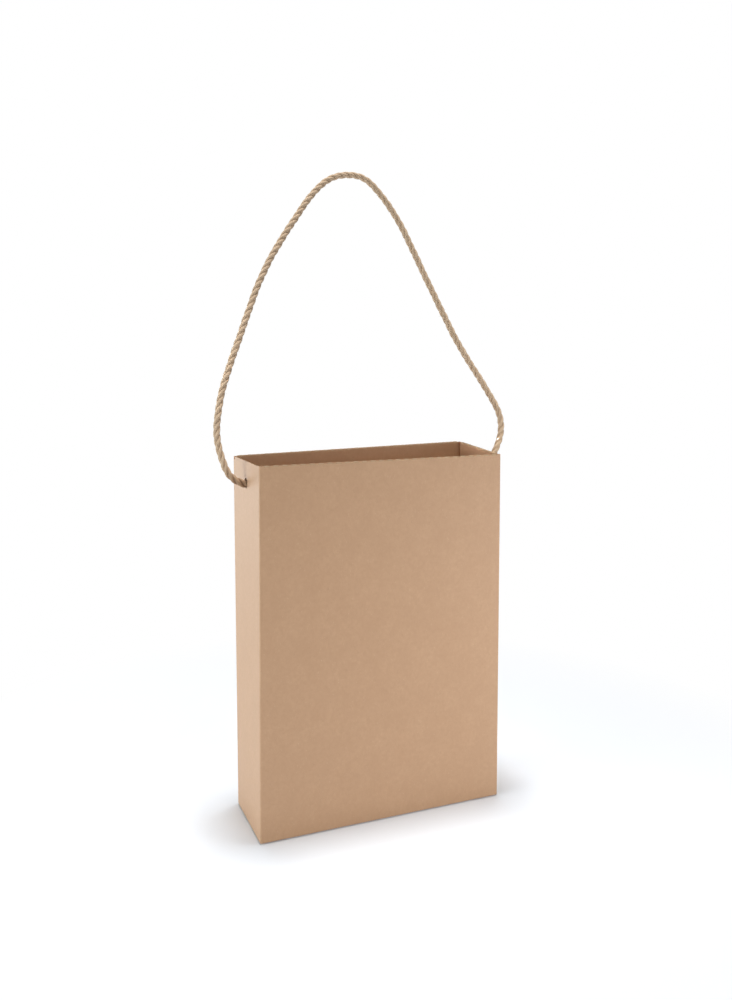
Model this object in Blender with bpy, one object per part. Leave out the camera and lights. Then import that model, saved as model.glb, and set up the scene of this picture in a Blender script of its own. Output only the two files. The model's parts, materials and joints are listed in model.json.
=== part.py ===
"""Carrier bag of kraft corrugated board with a twisted rope handle.

The bag stands on the XY plane with its width along X, its front wall at -Y and its rim up.
All sizes are in metres.
"""

import math

import bmesh
import bpy
import numpy as np
from mathutils import Matrix, Vector

# Driving dimensions of the standing bag
BAG_WIDTH = 0.256
BAG_DEPTH = 0.086
BAG_HEIGHT = 0.360

# Corrugated board
BOARD = 0.0015
FIT_GAP = 0.0003
CUT_OVERRUN = 0.005

# Creases
CORNER_RADIUS = 0.0022
FOLD_RADIUS = 0.0011
FOLD_SEGMENTS = 2
CORNER_SEGMENTS = 3

# Hems folded inside the rim
HEM_DEPTH = 0.040
HEM_END_CLEARANCE = 0.0020

# Glue flap inside the back wall
GLUE_FLAP_WIDTH = 0.030
GLUE_FLAP_TAPER = 0.008
GLUE_FLAP_CLEARANCE = 0.003

# Snap-lock base, with depths as shares of the inner depth and widths as shares of the inner width
TONGUE_WIDTH_SHARE = 0.42
TONGUE_TIP_SHARE = 0.80
TONGUE_BEND_SHARE = 0.46
TONGUE_LANDING_SHARE = 0.57
SLOT_EDGE_SHARE = 0.61
BACK_FLAP_REACH_SHARE = 0.40
SIDE_FLAP_TAPER_SHARE = 0.14
FLAP_CORNER_CUT = 0.006
FLAP_SIDE_CLEARANCE = 0.0015
TONGUE_CLEARANCE = 0.003

# Rope handle
ROPE_DIAMETER = 0.0068
ROPE_HOLE_DIAMETER = 0.010
ROPE_HOLE_DROP = 0.022
ROPE_LEAN = math.radians(12.0)
ROPE_POINTS = 53
SPLINE_SAMPLES = 2000
ROPE_BEVEL_RESOLUTION = 3
HOLE_SIDES = 24

# The rope's way from the left hole to the right one, in the plane of its loop: across, outwards.
# The plane turns about the line through the two holes and leans back by ROPE_LEAN.
ROPE_ROUTE = (
    (-0.1280, 0.0000), (-0.1368, 0.0028), (-0.1443, 0.0094), (-0.1491, 0.0206),
    (-0.1539, 0.0429), (-0.1526, 0.0630), (-0.1459, 0.0913), (-0.1355, 0.1189),
    (-0.1181, 0.1607), (-0.1009, 0.2001), (-0.0806, 0.2350), (-0.0572, 0.2680),
    (-0.0349, 0.2960), (-0.0149, 0.3113), (0.0040, 0.3158), (0.0226, 0.3121),
    (0.0384, 0.2970), (0.0540, 0.2739), (0.0702, 0.2393), (0.0864, 0.2004),
    (0.1009, 0.1668), (0.1163, 0.1332), (0.1343, 0.1017), (0.1502, 0.0739),
    (0.1587, 0.0500), (0.1570, 0.0356), (0.1506, 0.0212), (0.1438, 0.0100),
    (0.1370, 0.0026), (0.1280, 0.0000),
)

# Stopper knots
KNOT_DIAMETER = 0.0225
KNOT_LENGTH = 0.019
KNOT_SEAT_CUT = 0.0015
KNOT_SIDES = 16
KNOT_RINGS = 10
TAIL_DIAMETER = 0.0080
TAIL_REACH = 0.034
TAIL_DROOP = 0.014
TAIL_POINTS = 7

# Colours of the pieces, linear, with their roughness
KRAFT_OUTSIDE = (0.53, 0.36, 0.24)
KRAFT_INSIDE = (0.42, 0.27, 0.17)
ROPE_COLOUR = (0.46, 0.31, 0.18)
KRAFT_ROUGHNESS = 0.85
ROPE_ROUGHNESS = 0.9

# Sizes that follow from the ones above
LAYER = BOARD + FIT_GAP
INNER_CORNER_RADIUS = CORNER_RADIUS - BOARD
INNER_WIDTH = BAG_WIDTH - 2 * LAYER
INNER_DEPTH = BAG_DEPTH - 2 * LAYER
HEM_FACE_X = BAG_WIDTH / 2 - LAYER - BOARD
HOLE_HEIGHT = BAG_HEIGHT - ROPE_HOLE_DROP
TONGUE_WIDTH = TONGUE_WIDTH_SHARE * INNER_WIDTH


def clear_scene():
    """Remove whatever the scene holds."""
    for obj in list(bpy.data.objects):
        bpy.data.objects.remove(obj, do_unlink=True)


def new_collection(name):
    """Add a collection to the scene."""
    collection = bpy.data.collections.new(name)
    bpy.context.scene.collection.children.link(collection)
    return collection


def new_material(name, colour, roughness):
    """A plain matt material."""
    material = bpy.data.materials.new(name)
    material.use_nodes = True
    shader = material.node_tree.nodes["Principled BSDF"]
    shader.inputs["Base Color"].default_value = (*colour, 1.0)
    shader.inputs["Roughness"].default_value = roughness
    shader.inputs["Metallic"].default_value = 0.0
    return material


def place(name, mesh, collection, material=None, matrix=None):
    """Link a mesh as a named object, with its place worked into the mesh."""
    obj = bpy.data.objects.new(name, mesh)
    mesh.name = name
    if matrix is not None:
        mesh.transform(matrix)
    if material is not None:
        mesh.materials.clear()
        mesh.materials.append(material)
    collection.objects.link(obj)
    return obj


def mesh_of_curve(curve):
    """Turn curve data into a welded mesh."""
    holder = bpy.data.objects.new(curve.name, curve)
    bpy.context.scene.collection.objects.link(holder)
    evaluated = holder.evaluated_get(bpy.context.evaluated_depsgraph_get())
    mesh = bpy.data.meshes.new_from_object(evaluated)
    bpy.data.objects.remove(holder, do_unlink=True)
    shape = bmesh.new()
    shape.from_mesh(mesh)
    bmesh.ops.remove_doubles(shape, verts=shape.verts, dist=FIT_GAP / 30)
    bmesh.ops.recalc_face_normals(shape, faces=shape.faces)
    shape.to_mesh(mesh)
    shape.free()
    return mesh


def flat_mesh(name, outline, thickness):
    """An outline in its own XY plane, thickened evenly to both sides of it."""
    curve = bpy.data.curves.new(name, "CURVE")
    curve.dimensions = "2D"
    curve.fill_mode = "BOTH"
    curve.extrude = thickness / 2
    spline = curve.splines.new("POLY")
    spline.points.add(len(outline) - 1)
    for point, (x, y) in zip(spline.points, outline):
        point.co = (x, y, 0.0, 1.0)
    spline.use_cyclic_u = True
    return mesh_of_curve(curve)


def tube_mesh(name, points, diameter):
    """A round tube with closed ends along a list of points."""
    curve = bpy.data.curves.new(name, "CURVE")
    curve.dimensions = "3D"
    curve.bevel_depth = diameter / 2
    curve.bevel_resolution = ROPE_BEVEL_RESOLUTION
    curve.use_fill_caps = True
    spline = curve.splines.new("POLY")
    spline.points.add(len(points) - 1)
    for point, place_in_space in zip(spline.points, points):
        point.co = (*place_in_space, 1.0)
    mesh = mesh_of_curve(curve)
    mesh.shade_smooth()
    return mesh


def smooth_route(points, count):
    """Read evenly spaced points from a natural cubic spline through the given ones."""
    nodes = np.array([tuple(point) for point in points])
    last = len(nodes) - 1
    spans = np.linalg.norm(np.diff(nodes, axis=0), axis=1)
    stations = np.concatenate(([0.0], np.cumsum(spans)))
    matrix = np.identity(last + 1)
    pull = np.zeros_like(nodes)
    for i in range(1, last):
        matrix[i, i - 1:i + 2] = (spans[i - 1], 2 * (spans[i - 1] + spans[i]), spans[i])
        pull[i] = 6 * ((nodes[i + 1] - nodes[i]) / spans[i] - (nodes[i] - nodes[i - 1]) / spans[i - 1])
    bend = np.linalg.solve(matrix, pull)

    def read(station):
        i = min(int(np.searchsorted(stations, station, side="right")) - 1, last - 1)
        a = (stations[i + 1] - station) / spans[i]
        b = 1 - a
        swing = (a ** 3 - a) * bend[i] + (b ** 3 - b) * bend[i + 1]
        return a * nodes[i] + b * nodes[i + 1] + swing * spans[i] ** 2 / 6

    fine = np.array([read(station) for station in np.linspace(0.0, stations[-1], SPLINE_SAMPLES)])
    walked = np.concatenate(([0.0], np.cumsum(np.linalg.norm(np.diff(fine, axis=0), axis=1))))
    even = np.linspace(0.0, walked[-1], count)
    return [Vector(np.interp(distance, walked, fine[:, axis]) for axis in range(3)) for distance in even]


def boolean(obj, cutter, operation):
    """Cut or join with another object."""
    modifier = obj.modifiers.new(cutter.name, "BOOLEAN")
    modifier.operation = operation
    modifier.solver = "EXACT"
    modifier.object = cutter


def make_cutter(name, mesh, collection, matrix=None):
    """A hidden object that other pieces are cut with."""
    cutter = place(name, mesh, collection, matrix=matrix)
    cutter.hide_render = True
    cutter.display_type = "WIRE"
    return cutter


def round_edges(mesh, chosen, radius):
    """Round the edges that a test on their two ends picks."""
    shape = bmesh.new()
    shape.from_mesh(mesh)
    edges = [e for e in shape.edges if chosen(e.verts[0].co, e.verts[1].co)]
    bmesh.ops.bevel(shape, geom=edges, offset=radius, segments=FOLD_SEGMENTS,
                    profile=0.5, affect="EDGES", clamp_overlap=False)
    shape.to_mesh(mesh)
    shape.free()


def wall_section(length):
    """Plan of a wall: outer face on y = 0, ends rounded half way round the bag's corners."""
    centre = Vector((length / 2 - CORNER_RADIUS, CORNER_RADIUS))

    def arc(radius, outwards):
        reach = math.pi / 4 - math.asin(FIT_GAP / 2 / radius)
        steps = range(CORNER_SEGMENTS + 1)
        angles = [reach * step / CORNER_SEGMENTS for step in steps]
        if not outwards:
            angles.reverse()
        return [centre + radius * Vector((math.sin(a), -math.cos(a))) for a in angles]

    right_end = arc(CORNER_RADIUS, True) + arc(INNER_CORNER_RADIUS, False)
    left_end = [Vector((-p.x, p.y)) for p in reversed(right_end)]
    return [tuple(p) for p in right_end + left_end]


def wall_mesh(name, length):
    """A wall panel, standing on z = 0, with its outer face on y = 0."""
    mesh = flat_mesh(name, wall_section(length), BAG_HEIGHT)
    mesh.transform(Matrix.Translation((0.0, 0.0, BAG_HEIGHT / 2)))

    def outer_fold(a, b):
        level = abs(a.z - b.z) < FIT_GAP
        outside = max(a.y, b.y) < FIT_GAP
        return level and outside and abs(a.x - b.x) > CORNER_RADIUS

    round_edges(mesh, outer_fold, FOLD_RADIUS)
    return mesh


def hem_mesh(name, length):
    """A hem panel below z = 0, with its outer face on y = 0 and its fold rounded inside."""
    outline = [(-length / 2, -HEM_DEPTH), (length / 2, -HEM_DEPTH), (length / 2, 0.0), (-length / 2, 0.0)]
    mesh = flat_mesh(name, outline, BOARD)
    mesh.transform(Matrix.Rotation(math.pi / 2, 4, "X"))
    mesh.transform(Matrix.Translation((0.0, BOARD / 2, 0.0)))

    def inner_fold(a, b):
        return min(a.z, b.z) > -FIT_GAP and min(a.y, b.y) > BOARD - FIT_GAP

    round_edges(mesh, inner_fold, FOLD_RADIUS)
    return mesh


def around(turns, distance):
    """Place a wall or hem on one of the four sides, a share of a turn from the front."""
    turn = Matrix.Rotation(turns * 2 * math.pi, 4, "Z")
    return turn @ Matrix.Translation((0.0, -distance, 0.0))


def make_walls(collection, material):
    """The four walls of the sleeve."""
    sides = (("front_panel", 0.0, BAG_WIDTH, BAG_DEPTH / 2),
             ("right_side_panel", 0.25, BAG_DEPTH, BAG_WIDTH / 2),
             ("back_panel", 0.5, BAG_WIDTH, BAG_DEPTH / 2),
             ("left_side_panel", 0.75, BAG_DEPTH, BAG_WIDTH / 2))
    walls = {}
    for name, turns, length, distance in sides:
        walls[name] = place(name, wall_mesh(name, length), collection, material, around(turns, distance))
    return walls


def make_hems(collection, material):
    """The four hems folded inside the walls, the side ones between the front and back ones."""
    wide = INNER_WIDTH - 2 * HEM_END_CLEARANCE
    narrow = INNER_DEPTH - 2 * (LAYER + HEM_END_CLEARANCE)
    sides = (("front_hem", 0.0, wide, BAG_DEPTH / 2),
             ("right_hem", 0.25, narrow, BAG_WIDTH / 2),
             ("back_hem", 0.5, wide, BAG_DEPTH / 2),
             ("left_hem", 0.75, narrow, BAG_WIDTH / 2))
    hems = {}
    for name, turns, length, distance in sides:
        matrix = Matrix.Translation((0.0, 0.0, BAG_HEIGHT)) @ around(turns, distance - LAYER)
        hems[name] = place(name, hem_mesh(name, length), collection, material, matrix)
    return hems


def cut_rope_holes(walls, hems, cutters):
    """One bore through both side walls and their hems."""
    shape = bmesh.new()
    bmesh.ops.create_cone(shape, cap_ends=True, segments=HOLE_SIDES, radius1=ROPE_HOLE_DIAMETER / 2,
                          radius2=ROPE_HOLE_DIAMETER / 2, depth=BAG_WIDTH + 2 * CUT_OVERRUN)
    mesh = bpy.data.meshes.new("rope_bore")
    shape.to_mesh(mesh)
    shape.free()
    matrix = Matrix.Translation((0.0, 0.0, HOLE_HEIGHT)) @ Matrix.Rotation(math.pi / 2, 4, "Y")
    bore = make_cutter("rope_bore", mesh, cutters, matrix)
    for side in ("left", "right"):
        boolean(walls[side + "_side_panel"], bore, "DIFFERENCE")
        boolean(hems[side + "_hem"], bore, "DIFFERENCE")


def make_glue_flap(collection, material):
    """The seam flap, from the left wall along the inside of the back wall."""
    low = 4 * LAYER + GLUE_FLAP_CLEARANCE
    high = BAG_HEIGHT - HEM_DEPTH - GLUE_FLAP_CLEARANCE
    near = INNER_CORNER_RADIUS - INNER_WIDTH / 2
    far = near + GLUE_FLAP_WIDTH
    outline = [(near, low), (far, low + GLUE_FLAP_TAPER), (far, high - GLUE_FLAP_TAPER), (near, high)]
    mesh = flat_mesh("glue_flap", outline, BOARD)
    upright = Matrix.Rotation(math.pi / 2, 4, "X")
    matrix = Matrix.Translation((0.0, INNER_DEPTH / 2 - BOARD / 2, 0.0)) @ upright
    place("glue_flap", mesh, collection, material, matrix)


def depth_at(share):
    """World y at a share of the inner depth, counted from the front wall."""
    return (share - 0.5) * INNER_DEPTH


def make_side_flaps(collection, material):
    """The two narrow base flaps, in the second layer, ending short of the tongue."""
    reach = INNER_WIDTH / 2 - TONGUE_WIDTH / 2 - TONGUE_CLEARANCE
    half = INNER_DEPTH / 2 - FLAP_SIDE_CLEARANCE
    taper = SIDE_FLAP_TAPER_SHARE * INNER_DEPTH
    shoulder = half - taper
    outline = [(0.0, -half), (reach - FLAP_CORNER_CUT, -shoulder), (reach, FLAP_CORNER_CUT - shoulder),
               (reach, shoulder - FLAP_CORNER_CUT), (reach - FLAP_CORNER_CUT, shoulder), (0.0, half)]
    for name, turn, side in (("bottom_left_flap", 0.0, -1), ("bottom_right_flap", math.pi, 1)):
        mesh = flat_mesh(name, outline, BOARD)
        crease = Matrix.Translation((side * INNER_WIDTH / 2, 0.0, LAYER + BOARD / 2))
        place(name, mesh, collection, material, crease @ Matrix.Rotation(turn, 4, "Z"))


def make_back_flap(collection, material):
    """The innermost base flap, in the third layer, with the slot that takes the tongue."""
    half = INNER_WIDTH / 2 - FLAP_SIDE_CLEARANCE
    slot = TONGUE_WIDTH / 2 + TONGUE_CLEARANCE
    back = depth_at(1.0)
    reach = depth_at(BACK_FLAP_REACH_SHARE)
    slot_edge = depth_at(SLOT_EDGE_SHARE)
    cut = FLAP_CORNER_CUT
    outline = [(half, back), (-half, back), (-half, reach + cut), (-half + cut, reach),
               (-slot - cut, reach), (-slot, reach + cut), (-slot, slot_edge), (slot, slot_edge),
               (slot, reach + cut), (slot + cut, reach), (half - cut, reach), (half, reach + cut)]
    mesh = flat_mesh("bottom_back_flap", outline, BOARD)
    matrix = Matrix.Translation((0.0, 0.0, 2 * LAYER + BOARD / 2))
    place("bottom_back_flap", mesh, collection, material, matrix)


def make_front_flap(collection, cutters, material):
    """The outermost base flap, whose tongue climbs through the slot and lies on the back flap."""
    front = depth_at(0.0)
    bend = depth_at(TONGUE_BEND_SHARE)
    landing = depth_at(TONGUE_LANDING_SHARE)
    tip = depth_at(TONGUE_TIP_SHARE)
    lift = 3 * LAYER
    slack = BOARD / 2
    side_view = [(front, 0.0), (bend, 0.0), (landing, lift), (tip, lift), (tip, lift + BOARD),
                 (landing - slack, lift + BOARD), (bend - slack, BOARD), (front, BOARD)]
    width = INNER_WIDTH - 2 * FLAP_SIDE_CLEARANCE
    mesh = flat_mesh("bottom_front_flap", side_view, width)
    upright = Matrix(((0.0, 0.0, 1.0), (1.0, 0.0, 0.0), (0.0, 1.0, 0.0))).to_4x4()
    flap = place("bottom_front_flap", mesh, collection, material, upright)
    shoulder = bend - BOARD
    outer = width / 2 + CUT_OVERRUN
    inner = TONGUE_WIDTH / 2
    deep = tip + CUT_OVERRUN
    for name, side in (("left_shoulder_cut", -1), ("right_shoulder_cut", 1)):
        outline = [(side * inner, shoulder), (side * outer, shoulder),
                   (side * outer, deep), (side * inner, deep)]
        block = flat_mesh(name, outline, 2 * (lift + BOARD + CUT_OVERRUN))
        boolean(flap, make_cutter(name, block, cutters), "DIFFERENCE")


def on_loop(across, outwards):
    """A point of the rope's own plane, placed in space at its lean."""
    return Vector((across, outwards * math.sin(ROPE_LEAN), HOLE_HEIGHT + outwards * math.cos(ROPE_LEAN)))


def make_rope(collection, material):
    """The rope from one knot's face to the other's, straight where it passes through the board."""
    left_end = on_loop(-HEM_FACE_X, 0.0)
    right_end = on_loop(HEM_FACE_X, 0.0)
    mouths = [on_loop(*point) for point in ROPE_ROUTE]
    route = smooth_route([left_end] + mouths + [right_end], ROPE_POINTS)
    route[1:1] = [mouths[0]]
    route[-1:-1] = [mouths[-1]]
    mesh = tube_mesh("rope_handle", route, ROPE_DIAMETER)
    return place("rope_handle", mesh, collection, material)


def make_knots(collection, cutters, material):
    """A stopper knot with a drooping tail on the inner side of each hole."""
    seat = HEM_FACE_X - FIT_GAP
    sideways = Matrix.Rotation(math.pi / 2, 4, "Y")
    for name, side in (("left_knot", -1), ("right_knot", 1)):
        centre = seat + KNOT_SEAT_CUT - KNOT_LENGTH / 2
        shape = bmesh.new()
        bmesh.ops.create_uvsphere(shape, u_segments=KNOT_SIDES, v_segments=KNOT_RINGS, radius=0.5)
        mesh = bpy.data.meshes.new(name)
        shape.to_mesh(mesh)
        shape.free()
        mesh.transform(Matrix.Diagonal((KNOT_DIAMETER, KNOT_DIAMETER, KNOT_LENGTH, 1.0)))
        mesh.shade_smooth()
        matrix = Matrix.Translation((side * centre, 0.0, HOLE_HEIGHT)) @ sideways
        knot = place(name, mesh, collection, material, matrix)

        start = centre - KNOT_LENGTH / 4
        stop = seat - TAIL_REACH
        tail_points = []
        for index in range(TAIL_POINTS):
            share = index / (TAIL_POINTS - 1)
            tail_points.append((side * (start + (stop - start) * share), 0.0,
                                HOLE_HEIGHT - TAIL_DROOP * share * share))
        tail = tube_mesh(name + "_tail", tail_points, TAIL_DIAMETER)
        boolean(knot, make_cutter(name + "_tail", tail, cutters), "UNION")

        half = KNOT_DIAMETER
        outline = [(-half, -half), (half, -half), (half, half), (-half, half)]
        slab = flat_mesh(name + "_seat", outline, KNOT_LENGTH)
        beyond = Matrix.Translation((side * (seat + KNOT_LENGTH / 2), 0.0, HOLE_HEIGHT)) @ sideways
        boolean(knot, make_cutter(name + "_seat", slab, cutters, beyond), "DIFFERENCE")


def hang_on_axis(names):
    """Parent the moving pieces to an empty on the line through both holes."""
    axis = bpy.data.objects.new("handle_axis", None)
    axis.location = (0.0, 0.0, HOLE_HEIGHT)
    bpy.context.scene.collection.objects.link(axis)
    for name in names:
        piece = bpy.data.objects[name]
        piece.parent = axis
        piece.matrix_parent_inverse = Matrix.Translation(-axis.location)


def main():
    clear_scene()
    bag = new_collection("carrier_bag")
    cutters = new_collection("cutters")
    outside = new_material("kraft_outside", KRAFT_OUTSIDE, KRAFT_ROUGHNESS)
    inside = new_material("kraft_inside", KRAFT_INSIDE, KRAFT_ROUGHNESS)
    jute = new_material("jute_rope", ROPE_COLOUR, ROPE_ROUGHNESS)
    walls = make_walls(bag, outside)
    hems = make_hems(bag, inside)
    cut_rope_holes(walls, hems, cutters)
    make_glue_flap(bag, inside)
    make_side_flaps(bag, inside)
    make_back_flap(bag, inside)
    make_front_flap(bag, cutters, inside)
    make_rope(bag, jute)
    make_knots(bag, cutters, jute)
    hang_on_axis(("rope_handle", "left_knot", "right_knot"))


main()
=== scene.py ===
import json
import math
from collections import namedtuple

import bmesh
import bpy
import numpy as np
from mathutils import Matrix, Vector


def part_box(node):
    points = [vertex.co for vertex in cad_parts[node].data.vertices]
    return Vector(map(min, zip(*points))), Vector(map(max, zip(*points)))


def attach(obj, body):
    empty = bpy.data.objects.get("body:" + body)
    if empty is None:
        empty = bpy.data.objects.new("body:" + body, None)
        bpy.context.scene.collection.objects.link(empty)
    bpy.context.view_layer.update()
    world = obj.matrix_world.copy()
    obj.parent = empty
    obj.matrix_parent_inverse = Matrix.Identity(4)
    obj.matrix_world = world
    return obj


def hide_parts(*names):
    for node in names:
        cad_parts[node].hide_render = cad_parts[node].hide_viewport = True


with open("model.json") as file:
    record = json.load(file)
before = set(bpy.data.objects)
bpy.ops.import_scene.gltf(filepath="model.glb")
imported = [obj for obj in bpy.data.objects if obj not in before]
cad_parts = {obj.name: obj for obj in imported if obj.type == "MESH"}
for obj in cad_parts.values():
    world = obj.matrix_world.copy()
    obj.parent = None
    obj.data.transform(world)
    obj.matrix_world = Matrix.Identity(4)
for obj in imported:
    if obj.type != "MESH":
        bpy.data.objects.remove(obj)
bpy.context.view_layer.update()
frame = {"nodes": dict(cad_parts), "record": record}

# Sizes read from the construction, in metres
LEFT_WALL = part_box("left_side_panel")
RIGHT_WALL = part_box("right_side_panel")
FRONT_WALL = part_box("front_panel")
BACK_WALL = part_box("back_panel")
FRONT_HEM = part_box("front_hem")
LEFT_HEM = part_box("left_hem")
WIDTH = RIGHT_WALL[1][0] - LEFT_WALL[0][0]
DEPTH = BACK_WALL[1][1] - FRONT_WALL[0][1]
HEIGHT = FRONT_WALL[1][2]
BOARD = FRONT_HEM[1][1] - FRONT_HEM[0][1]
HEM_DEPTH = FRONT_HEM[1][2] - FRONT_HEM[0][2]
LAYER = FRONT_HEM[0][1] - FRONT_WALL[0][1]
HOLE_HEIGHT = frame["record"]["behaviour"]["joints"][0]["pos_m"][2]
HEM_FACE_X = -LEFT_HEM[1][0]

# Board finish
LINER = 0.00024
FLUTE_PITCH = 0.0033
CORNER_RADIUS = 0.0016
BASE_FOLD_RADIUS = 0.0008
MARK_PITCH = 0.0088
MARK_CUT_SHARE = 0.46
FOLD_HEIGHT = 0.0015
FOLD_START = 0.0038         # below the rim, where the board begins to bend over
END_TAPER = 0.0004          # over which a fold's section opens at its ends
SHARP_DEGREES = 32
TIGHT_FOLD_HEIGHT = 0.0004
LEANING_FOLD = 0.6
CUT_DROP = 0.0004
FRONT_CUT_DROP = 0.00065
CORNER_DROP = 0.0009
GAPING_CORNER_DROP = 0.0034
ROLL_DEPTH = 0.006
HOLE_RADIUS = 0.0050
HEM_END_REACH = 0.0007
FLAP_CORNER_CUT = 0.006

# How far the bag's corners stand off a square block: left or right, front or back, base or rim
CORNER_SHIFTS = (
    (-1, -1, 0, (-0.0013, 0.0, 0.0)), (-1, 1, 0, (0.0005, 0.0, 0.0)),
    (-1, -1, 1, (0.0, 0.0, 0.0010)), (-1, 1, 1, (-0.0012, 0.0, 0.0)),
    (1, -1, 1, (0.0, 0.0, -0.0014)), (1, 1, 1, (-0.0010, 0.0, 0.0022)),
)

# Rope
ROPE_DIAMETER = 0.0068
ROPE_LEAN = math.radians(12.0)
ROPE_LAY = 0.025
STRANDS = 3
STRAND_OFFSET_SHARE = 0.212
STRAND_RADIUS_SHARE = 0.295
YARN_LAY = 0.011
ROPE_STEP = 0.0011
STRAND_SIDES = 15
KNOT_GAP = 0.0004           # between a knot and the hem it stops at
TAIL_LENGTH = 0.009
TAIL_DROOP = 0.006
# How strongly painted shade darkens the rope where it leaves its holes
HOLE_SHADE = 0.5
FIBRE_SPACING = 0.009
KNOT_FIBRE_SPACING = 0.006
FIBRE_LENGTH = 0.0030
FIBRE_LIFT = 0.0019
FIBRE_THICKNESS = 0.00014
HOLE_SPLAY = 0.5
TAIL_SPLAY = 1.0
# Painted shade colours for the rope: in its grooves, where it leaves its holes, and in its grooves there
GROOVE_SHADE_BROWN = "#8A6646"
HOLE_SHADE_BROWN = "#86603F"
HOLE_GROOVE_SHADE_BROWN = "#5A3C24"
ROPE_ROUTE = (
    (-0.1280, 0.0000), (-0.1368, 0.0028), (-0.1443, 0.0094), (-0.1491, 0.0206),
    (-0.1539, 0.0429), (-0.1526, 0.0630), (-0.1459, 0.0913), (-0.1355, 0.1189),
    (-0.1181, 0.1607), (-0.1009, 0.2001), (-0.0806, 0.2350), (-0.0572, 0.2680),
    (-0.0349, 0.2960), (-0.0149, 0.3113), (0.0040, 0.3158), (0.0226, 0.3121),
    (0.0384, 0.2970), (0.0540, 0.2739), (0.0702, 0.2393), (0.0864, 0.2004),
    (0.1009, 0.1668), (0.1163, 0.1332), (0.1343, 0.1017), (0.1502, 0.0739),
    (0.1587, 0.0500), (0.1570, 0.0356), (0.1506, 0.0212), (0.1438, 0.0100),
    (0.1370, 0.0026), (0.1280, 0.0000),
)

# Camera of the photograph, from the bag's corners
CAMERA_PLACE = (-0.3847, -0.9076, 0.4999)
CAMERA_AZIMUTH = math.radians(-22.21)
CAMERA_ELEVATION = math.radians(4.17)
CAMERA_FOCAL_SHARE = 0.9833
CAMERA_SENSOR = 36.0
CAMERA_SHIFT = (0.0101, -0.1133)

# Studio
FLOOR_RADIUS = 1.6
FLOOR_DROP = 0.0009
FLOOR_GLOW = 0.005
FLOOR_COLOUR = "#E9EDF2"
FLOOR_FADE = (0.28, 0.55)
COOL_WHITE = "#F5FDFF"


def hex_colour(text):
    """An sRGB hex value as linear red, green, blue and alpha."""
    channels = [int(text[i:i + 2], 16) / 255 for i in (1, 3, 5)]
    linear = [c / 12.92 if c <= 0.04045 else ((c + 0.055) / 1.055) ** 2.4 for c in channels]
    return (*linear, 1.0)


def add_node(tree, kind, inputs=None, **settings):
    """Add a node, give it its settings, and set or link its inputs."""
    node = tree.nodes.new(kind)
    for name, value in settings.items():
        setattr(node, name, value)
    for name, value in (inputs or {}).items():
        if isinstance(value, bpy.types.NodeSocket):
            tree.links.new(value, node.inputs[name])
        else:
            node.inputs[name].default_value = value
    return node


def calculate(tree, operation, *values):
    """The result of a math node on numbers or sockets."""
    return add_node(tree, "ShaderNodeMath", dict(enumerate(values)), operation=operation).outputs[0]


def new_material(name):
    """An empty material with a Principled shader on its output."""
    material = bpy.data.materials.new(name)
    material.use_nodes = True
    tree = material.node_tree
    tree.nodes.clear()
    shader = add_node(tree, "ShaderNodeBsdfPrincipled")
    add_node(tree, "ShaderNodeOutputMaterial", {"Surface": shader.outputs[0]})
    return material, tree, shader


def mix_colour(tree, share, first, second):
    """Mix two colours; any of the three may be a socket."""
    return add_node(tree, "ShaderNodeMix", {0: share, 6: first, 7: second}, data_type="RGBA").outputs[2]


def noise(tree, vector, stretch, scale, detail, roughness=0.5):
    """Noise on a stretched copy of a coordinate."""
    mapped = add_node(tree, "ShaderNodeMapping", {"Vector": vector, "Scale": stretch})
    return add_node(tree, "ShaderNodeTexNoise", {"Vector": mapped.outputs[0], "Scale": scale,
                                                 "Detail": detail, "Roughness": roughness}).outputs[0]


def window(tree, value, low, high):
    """Turn a value into 0 below low and 1 above high."""
    return add_node(tree, "ShaderNodeMapRange", {0: value, 1: low, 2: high}, clamp=True).outputs[0]


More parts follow.
